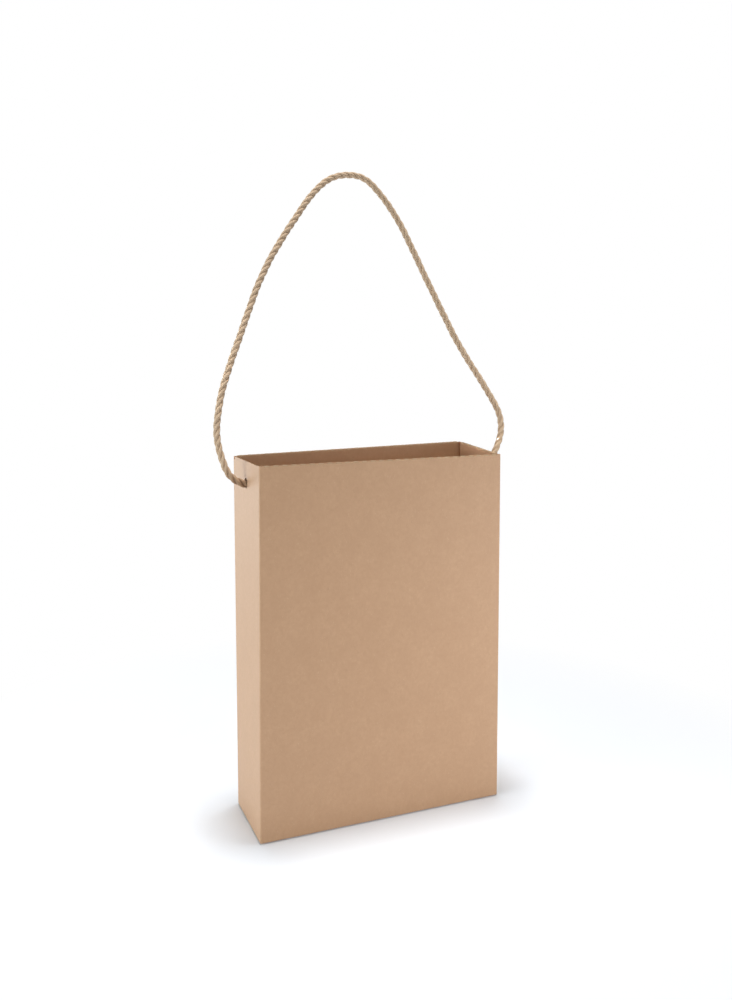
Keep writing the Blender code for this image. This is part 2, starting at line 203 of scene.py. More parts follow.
def kraft_liner_material(name, tone, dark_fibre, light_fibre, roughness=0.59):
    """Unbleached kraft liner of corrugated board, machine made and uncoated.

    It is matt, slightly mottled where the pulp lies thicker, and flecked with single fibres
    that run up the board with the machine direction. The flutes under it print through as
    a faint washboard.
    """
    material, tree, shader = new_material(name)
    place = add_node(tree, "ShaderNodeTexCoord").outputs["Object"]
    clouds = noise(tree, place, (1, 1, 0.9), 1 / 0.018, 3)
    pulp = noise(tree, place, (1, 1, 0.85), 1 / 0.0032, 4, 0.65)
    flecks = noise(tree, place, (1, 1, 0.35), 1 / 0.0008, 2)
    sparks = noise(tree, place, (1.1, 1.1, 0.4), 1 / 0.0009, 2)
    fine = noise(tree, place, (1, 1, 0.5), 1 / 0.00035, 3, 0.7)

    shade = mix_colour(tree, window(tree, clouds, 0.3, 0.7), tone[0], tone[1])
    shade = mix_colour(tree, window(tree, pulp, 0.25, 0.8), shade, tone[2])
    dark = calculate(tree, "MULTIPLY", window(tree, flecks, 0.68, 0.76), 0.3)
    shade = mix_colour(tree, dark, shade, dark_fibre)
    light = calculate(tree, "MULTIPLY", window(tree, sparks, 0.68, 0.76), 0.25)
    shade = mix_colour(tree, light, shade, light_fibre)
    tree.links.new(shade, shader.inputs["Base Color"])

    axes = add_node(tree, "ShaderNodeSeparateXYZ", {0: place})
    along = calculate(tree, "ADD", axes.outputs[0], axes.outputs[1])
    washboard = calculate(tree, "SINE", calculate(tree, "MULTIPLY", along, 2 * math.pi / FLUTE_PITCH))
    ripple = add_node(tree, "ShaderNodeBump", {"Height": washboard, "Strength": 0.05, "Distance": 0.00005})
    grain = add_node(tree, "ShaderNodeBump", {"Height": fine, "Strength": 0.35, "Distance": 0.00006,
                                              "Normal": ripple.outputs[0]})
    tree.links.new(grain.outputs[0], shader.inputs["Normal"])
    satin = add_node(tree, "ShaderNodeMapRange", {0: pulp, 3: roughness - 0.07, 4: roughness + 0.07})
    tree.links.new(satin.outputs[0], shader.inputs["Roughness"])
    shader.inputs["IOR"].default_value = 1.5
    shader.inputs["Specular IOR Level"].default_value = 0.95 if roughness < 0.8 else 0.3
    shader.inputs["Sheen Weight"].default_value = 0.15 if roughness < 0.8 else 0.0
    return material


def jute_material(name, light, middle, dark, gold):
    """Three-strand laid jute: retted bast fibre, spun into yarns.

    Long pale and brown fibres run along the yarns and give a streaky, silky but unpolished
    look, with painted shade down in the grooves between the strands. The UV map runs around
    a strand in u and along it, in metres, in v. Where the rope leaves its holes it is painted
    darker brown as shade, deepest in its grooves.
    """
    material, tree, shader = new_material(name)
    surface = add_node(tree, "ShaderNodeUVMap", uv_map="strand").outputs[0]
    space = add_node(tree, "ShaderNodeTexCoord").outputs["Object"]
    streaks = noise(tree, surface, (9, 60, 1), 1.6, 2)
    fibres = noise(tree, surface, (30, 120, 1), 1.5, 2)
    patches = noise(tree, space, (1, 1, 1), 1 / 0.016, 2)
    shade = mix_colour(tree, window(tree, streaks, 0.25, 0.65), dark, middle)
    shade = mix_colour(tree, window(tree, fibres, 0.42, 0.72), shade, light)
    shade = mix_colour(tree, window(tree, patches, 0.45, 0.8), shade, gold)
    # Painted shade down in the grooves between the strands
    depth = add_node(tree, "ShaderNodeAttribute", attribute_name="depth").outputs["Fac"]
    groove_shade = add_node(tree, "ShaderNodeMapRange", {0: depth, 1: 0.34, 2: 0.49, 3: 0.4, 4: 0.0}).outputs[0]
    shade = mix_colour(tree, groove_shade, shade, hex_colour(GROOVE_SHADE_BROWN))
    axes = add_node(tree, "ShaderNodeSeparateXYZ", {0: space}).outputs
    # Painted shade where the rope leaves its holes, darker still in its grooves
    low = window(tree, axes[2], HOLE_HEIGHT + 0.020, HOLE_HEIGHT + 0.002)
    aside = window(tree, calculate(tree, "ABSOLUTE", axes[0]), WIDTH / 2 - 0.002, WIDTH / 2)
    hole_shade = calculate(tree, "MULTIPLY", calculate(tree, "MULTIPLY", low, aside), HOLE_SHADE)
    shade = mix_colour(tree, hole_shade, shade, hex_colour(HOLE_SHADE_BROWN))
    hole_groove_shade = calculate(tree, "MULTIPLY", calculate(tree, "MULTIPLY", hole_shade, groove_shade), 3.0)
    tree.links.new(mix_colour(tree, hole_groove_shade, shade, hex_colour(HOLE_GROOVE_SHADE_BROWN)), shader.inputs["Base Color"])
    relief = add_node(tree, "ShaderNodeBump", {"Height": fibres, "Strength": 0.2, "Distance": 0.00005})
    tree.links.new(relief.outputs[0], shader.inputs["Normal"])
    shader.inputs["Roughness"].default_value = 0.86
    shader.inputs["Specular IOR Level"].default_value = 0.3
    shader.inputs["Sheen Weight"].default_value = 0.08
    return material


def loose_fibre_material():
    """Single jute fibres that stand off the rope: pale, dry and a little glossy."""
    material, tree, shader = new_material("loose_jute_fibre")
    place = add_node(tree, "ShaderNodeTexCoord").outputs["Object"]
    along = noise(tree, place, (1, 1, 1), 1 / 0.004, 1)
    shade = mix_colour(tree, along, hex_colour("#BFA485"), hex_colour("#D6C0A1"))
    tree.links.new(shade, shader.inputs["Base Color"])
    shader.inputs["Roughness"].default_value = 0.7
    return material


def fluted_paper_material():
    """Semichemical medium between the liners: greyer and rougher than the kraft liner."""
    material, tree, shader = new_material("fluting_medium")
    place = add_node(tree, "ShaderNodeTexCoord").outputs["Object"]
    pulp = noise(tree, place, (1, 1, 1), 1 / 0.0012, 3)
    shade = mix_colour(tree, pulp, hex_colour("#8A6C4F"), hex_colour("#A5835F"))
    tree.links.new(shade, shader.inputs["Base Color"])
    shader.inputs["Roughness"].default_value = 0.9
    return material


LINER_OUT = kraft_liner_material("kraft_liner", [hex_colour(c) for c in ("#BA9069", "#C0966F", "#B58B64")],
                                 hex_colour("#8C6647"), hex_colour("#E2C8A8"))
LINER_IN = kraft_liner_material("test_liner", [hex_colour(c) for c in ("#BE8358", "#C3895D", "#B77C52")],
                                hex_colour("#7C5C44"), hex_colour("#D2BB9E"))
MEDIUM = fluted_paper_material()
# A darker liner for painted shade on the tops of the rim's folds
FOLD_TOP_SHADE_LINER = kraft_liner_material("fold_top_shade_liner",
                                 [hex_colour(c) for c in ("#A38B6E", "#A88F72", "#9C8468")],
                                 hex_colour("#8C6647"), hex_colour("#CDB696"), 0.9)
PAPERS = (LINER_OUT, MEDIUM, LINER_IN, FOLD_TOP_SHADE_LINER)
OUTER_SLOT, MEDIUM_SLOT, INNER_SLOT, FOLD_SHADE_SLOT = range(4)
JUTE = jute_material("laid_jute", *[hex_colour(c) for c in ("#D3BC9F", "#CAB093", "#BC9F82", "#CDB397")])
LOOSE_FIBRE = loose_fibre_material()


def shade_by_angle(mesh, sharp_degrees=SHARP_DEGREES):
    """Shade smooth, with sharp edges where faces meet at more than an angle."""
    mesh.shade_smooth()
    mesh.set_sharp_from_angle(angle=math.radians(sharp_degrees))
    return mesh


def finish_mesh(mesh):
    """Merge doubles, turn faces outwards and shade smooth with sharp edges."""
    shape = bmesh.new()
    shape.from_mesh(mesh)
    bmesh.ops.remove_doubles(shape, verts=shape.verts, dist=1e-6)
    bmesh.ops.dissolve_degenerate(shape, edges=shape.edges, dist=1e-7)
    bmesh.ops.recalc_face_normals(shape, faces=shape.faces)
    shape.to_mesh(mesh)
    shape.free()
    return shade_by_angle(mesh)


def new_object(name, mesh, *materials):
    """Link a mesh that already holds its place in space."""
    obj = bpy.data.objects.new(name, mesh)
    slots = [face.material_index for face in mesh.polygons]
    mesh.materials.clear()
    for material in materials:
        mesh.materials.append(material)
    mesh.polygons.foreach_set("material_index", slots)
    bpy.context.scene.collection.objects.link(obj)
    return obj


def paint(mesh, slot, chosen):
    """Put the faces that a test picks in a material slot."""
    for face in mesh.polygons:
        if chosen(face):
            face.material_index = slot
    return mesh


def baked(obj):
    """Replace an object's mesh by its evaluated one and drop its modifiers."""
    evaluated = obj.evaluated_get(bpy.context.evaluated_depsgraph_get())
    mesh = bpy.data.meshes.new_from_object(evaluated)
    obj.modifiers.clear()
    obj.data = mesh
    return obj


def loft(rings):
    """A closed body through rings of as many points each, capped at both ends."""
    count = len(rings[0])
    vertices = [tuple(point) for ring in rings for point in ring]
    faces = []
    for i in range(len(rings) - 1):
        for j in range(count):
            k = (j + 1) % count
            faces.append((i * count + j, i * count + k, (i + 1) * count + k, (i + 1) * count + j))
    faces.append(tuple(range(count)))
    faces.append(tuple(range((len(rings) - 1) * count, len(rings) * count)))
    mesh = bpy.data.meshes.new("loft")
    mesh.from_pydata(vertices, [], faces)
    return mesh


Side = namedtuple("Side", "wall hem turns length distance hem_half bored"
                          " cut_drop corner_drops fold_height lean")
HEM_HALF_WIDE = FRONT_HEM[1][0] + HEM_END_REACH
HEM_HALF_NARROW = LEFT_HEM[1][1]
SIDES = (
    Side("front_panel", "front_hem", 0.0, WIDTH, DEPTH / 2, HEM_HALF_WIDE, False,
         FRONT_CUT_DROP, (0.0, 0.0), FOLD_HEIGHT, 0.0),
    Side("right_side_panel", "right_hem", 0.25, DEPTH, WIDTH / 2, HEM_HALF_NARROW, True,
         CUT_DROP, (CORNER_DROP, CORNER_DROP), FOLD_HEIGHT, 0.0),
    Side("back_panel", "back_hem", 0.5, WIDTH, DEPTH / 2, HEM_HALF_WIDE, False,
         CUT_DROP, (CORNER_DROP, CORNER_DROP), FOLD_HEIGHT, 0.0),
    Side("left_side_panel", "left_hem", 0.75, DEPTH, WIDTH / 2, HEM_HALF_NARROW, True,
         0.0, (GAPING_CORNER_DROP, 0.0), TIGHT_FOLD_HEIGHT, LEANING_FOLD),
)


def side_matrix(side):
    """From a side's own frame, along the wall, inwards and up, to the bag's."""
    return Matrix.Rotation(side.turns * 2 * math.pi, 4, "Z") @ Matrix.Translation((0, -side.distance, 0))


def smooth_step(low, high, value):
    """0 below low, 1 above high, and smooth between."""
    share = min(max((value - low) / (high - low), 0.0), 1.0)
    return share * share * (3 - 2 * share)


MARK_STATIONS = (0.0, 0.18, 0.235, 0.29, 0.40, 0.5, 0.60, 0.71, 0.765, 0.82)


def mark_phase(side, s):
    """Where a station lies in the pattern of cuts and creases, and in which repeat."""
    count = round(2 * side.hem_half / MARK_PITCH)
    turns = (s + side.hem_half) / (2 * side.hem_half) * count
    return turns - math.floor(turns), math.floor(turns)


def cut_weight(side, s):
    """1 where the fold line is cut through, 0 where it is only creased."""
    phase, _ = mark_phase(side, s)
    edge = MARK_CUT_SHARE / 2
    return 1 - smooth_step(edge - 0.035, edge + 0.035, min(phase, 1 - phase))


def crease_bulge(side, s):
    """How far each creased bridge stands up, slightly different from one to the next."""
    phase, index = mark_phase(side, s)
    uneven = 0.5 + 0.5 * math.sin(index * 2.4 + side.turns * 9)
    return -0.00012 * uneven - 0.0001 * abs(phase - 0.5) / 0.27


def paint_fold(mesh, side):
    """Paint the top of the fold with shade: a darker liner, or the medium where the board is cut, which is
    cut board and painted shade at once, and all along a leaning fold, where it is painted shade only.
    """
    for face in mesh.polygons:
        # Top faces of the fold get painted shade, in the darker liner or in the medium
        if face.normal.z > 0.3 and face.center.z > HEIGHT - ROLL_DEPTH:
            s = face.center.x
            shown_as_medium = side.lean > 0 or cut_weight(side, s) > 0.5 or abs(s) > side.hem_half
            face.material_index = MEDIUM_SLOT if shown_as_medium else FOLD_SHADE_SLOT
    return mesh


def stations_along(side, low, high):
    """Places along a fold where its section changes."""
    count = round(2 * side.hem_half / MARK_PITCH)
    period = 2 * side.hem_half / count
    places = [-side.hem_half + (i + share) * period for i in range(count) for share in MARK_STATIONS]
    return [low] + [s for s in places if low < s < high] + [high]


def fold_section(side, s, free):
    """The outer half of the rim's fold: pairs of inward distance and height below the rim."""
    middle = (BOARD + LAYER) / 2
    bulge = crease_bulge(side, s)
    creased = [(middle * (1 - math.cos(a)), side.fold_height * (1 - math.sin(a)) - bulge * math.sin(a))
               for a in (math.radians(d) for d in (0, 14, 28, 42, 56, 68, 79, 90))]
    drop = side.cut_drop
    cut = [(0, drop + 0.00095), (0, drop + 0.0006), (0.00008, drop + 0.0003), (0.0002, drop), (0.0006, drop),
           (0.001, drop + 0.0002), (0.0013, drop + 0.0005), (0.0015, drop + 0.0011)]
    drop = side.corner_drops[0 if s < 0 else 1]
    ended = [(0, drop + 0.0005), (0, drop + 0.0002), (0.00005, drop + 0.00006), (0.00016, drop),
             (0.0006, drop), (0.001, drop), (0.0014, drop + 0.00005), (0.0015, drop + 0.0003)]
    weight = cut_weight(side, s)
    section = []
    for a, b, c in zip(creased, cut, ended):
        n = a[0] + (b[0] - a[0]) * weight
        z = a[1] + (b[1] - a[1]) * weight
        section.append((n + (c[0] - n) * free, z + (c[1] - z) * free))
    return section


def wall_piece(side):
    """One wall: outer face, creased corners and base edge, and its half of the rim's fold."""
    half = side.length / 2
    straight = half - CORNER_RADIUS
    plan = []
    for degrees in (45, 36, 27, 18, 9):
        a = math.radians(degrees)
        out = Vector((-math.sin(a), -math.cos(a)))
        centre = Vector((-straight, CORNER_RADIUS))
        plan.append((centre + CORNER_RADIUS * out, -out, -straight))
    for s in [-straight] + stations_along(side, -side.hem_half, side.hem_half) + [straight]:
        plan.append((Vector((s, 0)), Vector((0, 1)), s))
    for degrees in (9, 18, 27, 36, 45):
        a = math.radians(degrees)
        out = Vector((math.sin(a), -math.cos(a)))
        centre = Vector((straight, CORNER_RADIUS))
        plan.append((centre + CORNER_RADIUS * out, -out, straight))
    rings = []
    r = BASE_FOLD_RADIUS
    for start, inwards, s in plan:
        free = smooth_step(side.hem_half - END_TAPER, side.hem_half, abs(s))
        section = [(BOARD, 0.0), (r, 0.0), (0.45 * r, 0.13 * r), (0.13 * r, 0.45 * r), (0.0, r)]
        section.append((0.0, HEIGHT - FOLD_START))
        section += [(n, HEIGHT - down - side.lean * n) for n, down in fold_section(side, s, free)]
        section.append((BOARD, HEIGHT - FOLD_START))
        rings.append([(*(start + inwards * n), z) for n, z in section])
    mesh = paint(finish_mesh(loft(rings)), INNER_SLOT, lambda face: face.normal.y > 0.6)
    paint_fold(mesh, side)
    mesh.transform(side_matrix(side))
    return mesh


def hem_roll(side):
    """The inner half of the rim's fold, down to where the hem's plain board starts."""
    rings = []
    thick = BOARD + LAYER
    for s in stations_along(side, -side.hem_half, side.hem_half):
        free = smooth_step(side.hem_half - END_TAPER, side.hem_half, abs(s))
        fold = reversed(fold_section(side, s, free))
        section = [(LAYER, ROLL_DEPTH), (LAYER, FOLD_START)]
        section += [(thick - n, down + side.lean * (thick - n)) for n, down in fold]
        section += [(thick, FOLD_START), (thick, ROLL_DEPTH)]
        rings.append([(s, n, HEIGHT - down) for n, down in section])
    mesh = paint(finish_mesh(loft(rings)), INNER_SLOT, lambda face: face.normal.y < -0.6)
    paint_fold(mesh, side)
    mesh.transform(side_matrix(side))
    return mesh


def prism(outline, low, high):
    """An outline in the XY plane, extruded between two heights."""
    mesh = loft([[(x, y, low) for x, y in outline], [(x, y, high) for x, y in outline]])
    return finish_mesh(mesh)


def flute_tree():
    """Geometry nodes that make one wavy sheet of fluting medium."""
    tree = bpy.data.node_groups.new("fluting_medium_sheet", "GeometryNodeTree")
    face = tree.interface
    for name in ("Width", "Length", "Pitch", "Rise"):
        face.new_socket(name, in_out="INPUT", socket_type="NodeSocketFloat")
    face.new_socket("Paper", in_out="INPUT", socket_type="NodeSocketMaterial")
    face.new_socket("Geometry", in_out="OUTPUT", socket_type="NodeSocketGeometry")
    given = add_node(tree, "NodeGroupInput").outputs
    columns = calculate(tree, "DIVIDE", given["Width"], given["Pitch"])
    steps = calculate(tree, "MULTIPLY_ADD", columns, 10.0, 2.0)
    grid = add_node(tree, "GeometryNodeMeshGrid", {"Size X": given["Width"], "Size Y": given["Length"],
                                                   "Vertices X": steps, "Vertices Y": 2})
    position = add_node(tree, "GeometryNodeInputPosition").outputs[0]
    place = add_node(tree, "ShaderNodeSeparateXYZ", {0: position})
    turns = calculate(tree, "DIVIDE", place.outputs[0], given["Pitch"])
    wave = calculate(tree, "SINE", calculate(tree, "MULTIPLY", turns, 2 * math.pi))
    lift = add_node(tree, "ShaderNodeCombineXYZ", {2: calculate(tree, "MULTIPLY", wave, given["Rise"])})
    moved = add_node(tree, "GeometryNodeSetPosition",
                     {"Geometry": grid.outputs[0], "Offset": lift.outputs[0]})
    real = add_node(tree, "GeometryNodeRealizeInstances", {0: moved.outputs[0]})
    painted = add_node(tree, "GeometryNodeSetMaterial",
                       {"Geometry": real.outputs[0], "Material": given["Paper"]})
    add_node(tree, "NodeGroupOutput", {0: painted.outputs[0]})
    return tree


FLUTES = flute_tree()


def set_tree_inputs(modifier, values):
    """Set a node modifier's inputs by their sockets' identifiers."""
    for item in modifier.node_group.interface.items_tree:
        if item.item_type == "SOCKET" and item.in_out == "INPUT" and item.name in values:
            modifier[item.identifier] = values[item.name]


def slab(low, high):
    """A plain block between two opposite corners."""
    outline = [(low[0], low[1]), (high[0], low[1]), (high[0], high[1]), (low[0], high[1])]
    return prism(outline, low[2], high[2])


def cut_with(mesh, cutter, operation):
    """Cut one mesh by another with an exact Boolean."""
    body = new_object("body", mesh, *PAPERS)
    tool = new_object("tool", cutter.copy(), *PAPERS)
    cut = body.modifiers.new("cut", "BOOLEAN")
    cut.operation = operation
    cut.solver = "EXACT"
    cut.object = tool
    result = baked(body).data
    bpy.data.objects.remove(body)
    bpy.data.objects.remove(tool)
    return result


def flat_board(solid, flutes_along_y=True):
    """Corrugated board in the place of a flat solid that lies level, its inside up.

    Two liners and a fluted medium between them, each cut to the solid's outline.
    """
    corners = np.array([v.co[:] for v in solid.vertices])
    low, high = corners.min(axis=0), corners.max(axis=0)
    high[2] = low[2] + BOARD
    centre = Vector((low + high) / 2)
    across, along = (high - low)[:2] if flutes_along_y else (high - low)[1::-1]
    sheet = new_object("medium", bpy.data.meshes.new("medium"))
    modifier = sheet.modifiers.new("flutes", "NODES")
    modifier.node_group = FLUTES
    set_tree_inputs(modifier, {"Width": float(across) + 2 * FLUTE_PITCH,
                               "Length": float(along) + 2 * FLUTE_PITCH,
                               "Pitch": FLUTE_PITCH, "Rise": (BOARD - 3 * LINER) / 2, "Paper": MEDIUM})
    thick = sheet.modifiers.new("paper", "SOLIDIFY")
    thick.thickness = LINER
    thick.offset = 0.0
    medium = baked(sheet).data
    bpy.data.objects.remove(sheet)
    medium.materials.clear()
    turn = 0.0 if flutes_along_y else math.pi / 2
    medium.transform(Matrix.Translation(centre) @ Matrix.Rotation(turn, 4, "Z"))
    beyond = np.array((FLUTE_PITCH, FLUTE_PITCH, 0.0))
    lower = slab(low - beyond - (0, 0, BOARD), (*(high + beyond)[:2], low[2] + LINER))
    upper = slab((*(low - beyond)[:2], high[2] - LINER), high + beyond + (0, 0, BOARD))
    return join_meshes([(cut_with(lower, solid, "INTERSECT"), OUTER_SLOT),
                        (cut_with(upper, solid, "INTERSECT"), INNER_SLOT),
                        (cut_with(medium, solid, "INTERSECT"), MEDIUM_SLOT)])


def join_meshes(parts, sharp_degrees=SHARP_DEGREES):
    """Join meshes into one, each with the index of its material slot, or None to keep its own."""
    shape = bmesh.new()
    for mesh, slot in parts:
        first = len(shape.faces)
        shape.from_mesh(mesh)
        shape.faces.ensure_lookup_table()
        if slot is not None:
            for face in shape.faces[first:]:
                face.material_index = slot
    joined = bpy.data.meshes.new("joined")
    shape.to_mesh(joined)
    shape.free()
    return shade_by_angle(joined, sharp_degrees)


def solid_mesh(name, matrix=None):
    """A copy of a solid's mesh, moved into another frame."""
    mesh = frame["nodes"][name].data.copy()
    mesh.materials.clear()
    if matrix is not None:
        mesh.transform(matrix)
    return mesh


def hem_piece(side):
    """A hem: its half of the fold, then plain board down to its raw lower edge."""
    upright = Matrix.Translation((0, LAYER + BOARD, 0)) @ Matrix.Rotation(math.pi / 2, 4, "X")
    low = (-side.hem_half, HEIGHT - HEM_DEPTH, 0.0)
    high = (side.hem_half, HEIGHT - ROLL_DEPTH, BOARD)
    solid = slab(low, high)
    if side.bored:
        solid = cut_with(solid, bore(), "DIFFERENCE")
    board = flat_board(solid)
    board.transform(side_matrix(side) @ upright)
    return join_meshes([(board, None), (hem_roll(side), None)])


def bore():
    """A round cutter for a rope hole, standing on a side's middle line at the hole's height."""
    turns = [2 * math.pi * i / 48 for i in range(48)]
    outline = [(HOLE_RADIUS * math.cos(a), HOLE_HEIGHT + HOLE_RADIUS * math.sin(a)) for a in turns]
    return paint(prism(outline, -2 * BOARD, 2 * BOARD), MEDIUM_SLOT, lambda face: True)


def weighted(obj):
    """Let the large flat faces rule the shading, so that cuts in them leave no trace."""
    modifier = obj.modifiers.new("normals", "WEIGHTED_NORMAL")
    modifier.keep_sharp = True
    modifier.weight = 100
    return baked(obj)


def corner_shift(point):
    """How far the board stands off the square block at a point, shared out between its corners."""
    across, deep, tall = 2 * point[0] / WIDTH, 2 * point[1] / DEPTH, point[2] / HEIGHT
    moved = Vector()
    for x, y, z, shift in CORNER_SHIFTS:
        share = (1 + x * across) / 2 * (1 + y * deep) / 2 * (tall if z else 1 - tall)
        moved += share * Vector(shift)
    return moved


def settled(mesh):
    """Move a mesh of board with the corners that stand off the square block."""
    for v in mesh.vertices:
        v.co += corner_shift(v.co)
    return mesh


def carton(piece, *nodes):
    """A piece of the board that stands for its solids."""
    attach(piece, "carton")
    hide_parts(*nodes)


def make_walls():
    """The four walls and the hems folded inside them."""
    for side in SIDES:
        wall, hem = wall_piece(side), hem_piece(side)
        if side.bored:
            upright = Matrix.Rotation(math.pi / 2, 4, "X")
            tool = bore()
            tool.transform(side_matrix(side) @ upright)
            wall = cut_with(wall, tool, "DIFFERENCE")
        for name, mesh in ((side.wall, wall), (side.hem, hem)):
            shade_by_angle(mesh)
            carton(weighted(new_object(name + "_board", settled(mesh), *PAPERS)), name)


def make_glue_flap():
    """The seam flap inside the back wall."""
    level = Matrix.Rotation(-math.pi / 2, 4, "X")
    board = flat_board(solid_mesh("glue_flap", level))
    board.transform(level.inverted())
    carton(new_object("glue_flap_board", settled(board), *PAPERS), "glue_flap")


def bent_tongue(board, bend, landing, lift):
    """Bend a level board up from one line and level again at the next."""
    shape = bmesh.new()
    shape.from_mesh(board)
    ramp = math.hypot(landing - bend, lift)
    angle = math.atan2(lift, landing - bend)
    blend = BOARD * 0.8
    for line in (bend, bend + ramp):
        for step in (-1, -0.6, -0.3, 0, 0.3, 0.6, 1):
            cut = shape.verts[:] + shape.edges[:] + shape.faces[:]
            bmesh.ops.bisect_plane(shape, geom=cut, plane_co=(0, line + step * blend, 0), plane_no=(0, 1, 0))
    path_s = np.linspace(bend - blend, bend + ramp + blend, 200)
    rise = [smooth_step(bend - blend, bend + blend, v)
            - smooth_step(bend + ramp - blend, bend + ramp + blend, v) for v in path_s]
    tilt = np.array(rise) * angle
    step = path_s[1] - path_s[0]
    path_y = bend - blend + np.concatenate(([0.0], np.cumsum(np.cos(tilt[:-1]) * step)))
    path_z = np.concatenate(([0.0], np.cumsum(np.sin(tilt[:-1]) * step)))
    path_z *= lift / path_z[-1]
    for v in shape.verts:
        s, n = v.co.y, v.co.z
        if s <= path_s[0]:
            continue
        t = float(np.interp(s, path_s, tilt))
        y = float(np.interp(s, path_s, path_y)) + max(0.0, s - path_s[-1])
        z = float(np.interp(s, path_s, path_z))
        v.co.y, v.co.z = y - n * math.sin(t), z + n * math.cos(t)
    shape.to_mesh(board)
    shape.free()
    return board


def make_base():
    """The four base flaps."""
    for name in ("bottom_left_flap", "bottom_right_flap"):
        carton(new_object(name + "_board", settled(flat_board(solid_mesh(name), False)), *PAPERS), name)
    back = flat_board(solid_mesh("bottom_back_flap"))
    carton(new_object("bottom_back_flap_board", settled(back), *PAPERS), "bottom_back_flap")
    corners = np.array([v.co[:] for v in solid_mesh("bottom_front_flap").vertices])
    lift = corners[:, 2].max() - BOARD
    bend = corners[corners[:, 2] < LINER, 1].max()
    landing = corners[abs(corners[:, 2] - lift) < LINER, 1].min()
    tip = corners[:, 1].max()
    tongue = abs(corners[corners[:, 1] > bend, 0]).max()
    half = abs(corners[:, 0]).max()
    shoulder = corners[abs(corners[:, 0]) > tongue + LINER, 1].max()
    ramp = math.hypot(landing - bend, lift)
    end = bend + ramp + tip - landing
    cut = FLAP_CORNER_CUT
    near = corners[:, 1].min()
    outline = [(-half, near), (half, near), (half, shoulder), (tongue, shoulder), (tongue, end - cut),
               (tongue - cut, end), (cut - tongue, end), (-tongue, end - cut),
               (-tongue, shoulder), (-half, shoulder)]
    front = bent_tongue(flat_board(prism(outline, 0.0, BOARD)), bend, landing, lift)
    carton(new_object("bottom_front_flap_board", settled(front), *PAPERS), "bottom_front_flap")


def spline(points, step):
    """Evenly spaced points on a natural cubic spline through the given ones."""
    nodes = np.array([tuple(point) for point in points])
    last = len(nodes) - 1
    spans = np.linalg.norm(np.diff(nodes, axis=0), axis=1)
    stations = np.concatenate(([0.0], np.cumsum(spans)))
    matrix = np.identity(last + 1)
    pull = np.zeros_like(nodes)
    for i in range(1, last):
        matrix[i, i - 1:i + 2] = (spans[i - 1], 2 * (spans[i - 1] + spans[i]), spans[i])
        pull[i] = 6 * ((nodes[i + 1] - nodes[i]) / spans[i] - (nodes[i] - nodes[i - 1]) / spans[i - 1])
    bend = np.linalg.solve(matrix, pull)
    t = np.linspace(0.0, stations[-1], 6000)
    i = np.clip(np.searchsorted(stations, t, side="right") - 1, 0, last - 1)
    a = ((stations[i + 1] - t) / spans[i])[:, None]
    b = 1 - a
    swing = ((a ** 3 - a) * bend[i] + (b ** 3 - b) * bend[i + 1]) * (spans[i] ** 2 / 6)[:, None]
    return evenly(a * nodes[i] + b * nodes[i + 1] + swing, step)


def evenly(line, step):
    """Points a step apart along a line of close points."""
    walked = np.concatenate(([0.0], np.cumsum(np.linalg.norm(np.diff(line, axis=0), axis=1))))
    even = np.linspace(0.0, walked[-1], max(2, round(walked[-1] / step) + 1))
    return np.stack([np.interp(even, walked, line[:, axis]) for axis in range(3)], axis=1)


def frames_along(line):
    """Tangents, and normals that never twist about them."""
    tangents = np.gradient(line, axis=0)
    tangents /= np.linalg.norm(tangents, axis=1)[:, None]
    start = np.cross(tangents[0], (0.0, 0.0, 1.0))
    if np.linalg.norm(start) < 0.1:
        start = np.cross(tangents[0], (0.0, 1.0, 0.0))
    normals = [start / np.linalg.norm(start)]
    for t in tangents[1:]:
        n = normals[-1] - t * np.dot(normals[-1], t)
        normals.append(n / np.linalg.norm(n))
    normals = np.array(normals)
    return tangents, normals, np.cross(tangents, normals)


def laid_rope(line, splay):
    """Three strands laid round each other along a line.

    splay is how far the strands stand apart at each point, 1 where they are laid tight. The UV
    map turns along each strand, so that the streaks of its fibres follow its yarns. The attribute
    depth is each point's distance from the rope's middle, in rope diameters.
    """
    _, normals, sides = frames_along(line)
    walked = np.concatenate(([0.0], np.cumsum(np.linalg.norm(np.diff(line, axis=0), axis=1))))
    offset = STRAND_OFFSET_SHARE * ROPE_DIAMETER
    radius = STRAND_RADIUS_SHARE * ROPE_DIAMETER
    shape = bmesh.new()
    uv = shape.loops.layers.uv.new("strand")
    depth = shape.verts.layers.float.new("depth")
    for strand in range(STRANDS):
        phase = 2 * math.pi * (walked / ROPE_LAY + strand / STRANDS)
        uneven = 1 + 0.05 * np.sin(walked / 0.013 + strand * 2.1) + 0.03 * np.sin(walked / 0.0047 + strand)
        reach = (offset * splay)[:, None]
        core = line + reach * (np.cos(phase)[:, None] * normals + np.sin(phase)[:, None] * sides)
        _, across, up = frames_along(core)
        rings = []
        for i, centre in enumerate(core):
            ring = []
            for j in range(STRAND_SIDES):
                angle = 2 * math.pi * j / STRAND_SIDES
                out = math.cos(angle) * across[i] + math.sin(angle) * up[i]
                ring.append(centre + radius * uneven[i] * out)
            rings.append([shape.verts.new(p) for p in ring])
            for vertex in rings[-1]:
                vertex[depth] = (vertex.co - Vector(line[i])).length / ROPE_DIAMETER / splay[i]
        for i in range(len(rings) - 1):
            for j in range(STRAND_SIDES):
                k = (j + 1) % STRAND_SIDES
                face = shape.faces.new((rings[i][j], rings[i][k], rings[i + 1][k], rings[i + 1][j]))
                corners = ((i, j), (i, j + 1), (i + 1, j + 1), (i + 1, j))
                for loop, (row, column) in zip(face.loops, corners):
                    twist = walked[row] / YARN_LAY
                    loop[uv].uv = (column / STRAND_SIDES + twist + strand * 0.37, walked[row])
        shape.faces.new(rings[0])
        shape.faces.new(list(reversed(rings[-1])))
    bmesh.ops.recalc_face_normals(shape, faces=shape.faces)
    mesh = bpy.data.meshes.new("laid_rope")
    shape.to_mesh(mesh)
    shape.free()
    mesh.shade_smooth()
    return mesh


